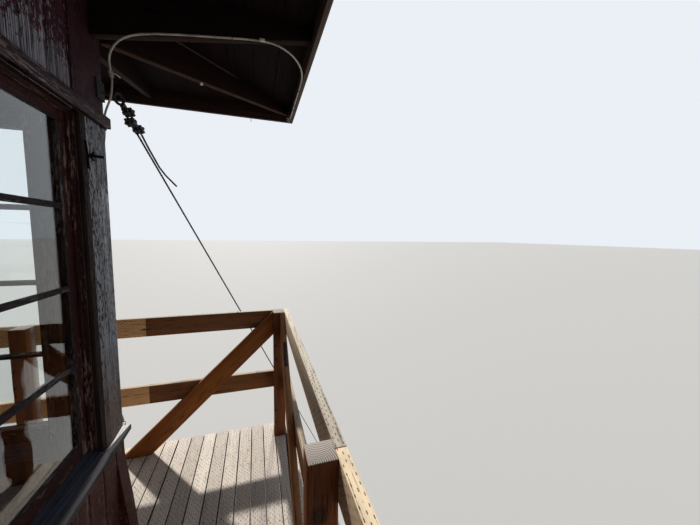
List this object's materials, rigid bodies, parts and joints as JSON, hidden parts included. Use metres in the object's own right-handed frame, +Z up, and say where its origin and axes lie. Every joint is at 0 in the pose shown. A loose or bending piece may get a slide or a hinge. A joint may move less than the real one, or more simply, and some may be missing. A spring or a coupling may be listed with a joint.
{
  "type": "fire lookout tower",
  "caption": "Square flat-roofed fire lookout cab with windows all round, a railed wooden catwalk, wide eaves, a low braced timber tower and corner guys.",
  "frame": {"origin": "on the ground under the middle of the cab", "axes": "+X east, +Y north towards the longer spread of the guys, +Z up"},
  "size_m": [8.872, 12.412, 5.831],
  "materials": {
    "concrete": "cast concrete, rough",
    "treated_timber": "brown weathered timber",
    "railing_wood": "newer orange-brown fir, bleached on top",
    "deck_wood": "bare sun-bleached boards",
    "floor_wood": "worn floor boards",
    "maroon_wood": "dark maroon paint, peeling",
    "bare_wood": "grey weathered wood with paint flecks",
    "soffit_wood": "near-black maroon paint",
    "roofing": "built-up felt roofing",
    "glass": "clear old glass",
    "steel": "dark weathered galvanized steel",
    "grey_cable": "light grey sheath"
  },
  "bodies": {
    "root": {"footings": "concrete", "legs": "treated_timber", "tower_braces": "treated_timber", "girders": "treated_timber", "floor_joists": "treated_timber", "rim_boards": "railing_wood", "cab_floor": "floor_wood", "deck_north": "deck_wood", "deck_east": "deck_wood", "deck_south": "deck_wood", "deck_west": "deck_wood", "railing_posts_north": "railing_wood", "railing_posts_east": "railing_wood", "railing_posts_south": "railing_wood", "railing_posts_west": "railing_wood", "top_rail_north": "railing_wood", "top_rail_east": "railing_wood", "top_rail_south": "railing_wood", "top_rail_west": "railing_wood", "mid_rails": "railing_wood", "railing_braces": "railing_wood", "lower_wall_north": "maroon_wood", "lower_wall_east": "maroon_wood", "lower_wall_south": "maroon_wood", "lower_wall_west": "maroon_wood", "upper_wall_north": "maroon_wood", "upper_wall_east": "maroon_wood", "upper_wall_south": "maroon_wood", "upper_wall_west": "maroon_wood", "corner_boards": "bare_wood", "window_mullions": "maroon_wood", "sashes_north": "maroon_wood", "sashes_east": "maroon_wood", "sashes_south": "maroon_wood", "sashes_west": "maroon_wood", "window_glass": "glass", "window_sills": "bare_wood", "drip_boards": "bare_wood", "roof_boards": "soffit_wood", "roofing": "roofing", "fascia": "soffit_wood", "roof_outriggers": "soffit_wood", "corner_outriggers": "soffit_wood", "guy_cables": "steel", "guy_clips": "steel", "guy_eyes": "steel", "guy_turnbuckles": "steel", "guy_anchors": "concrete", "anchor_eyes": "steel", "bonding_cable": "grey_cable"}
  },
  "joints": []
}
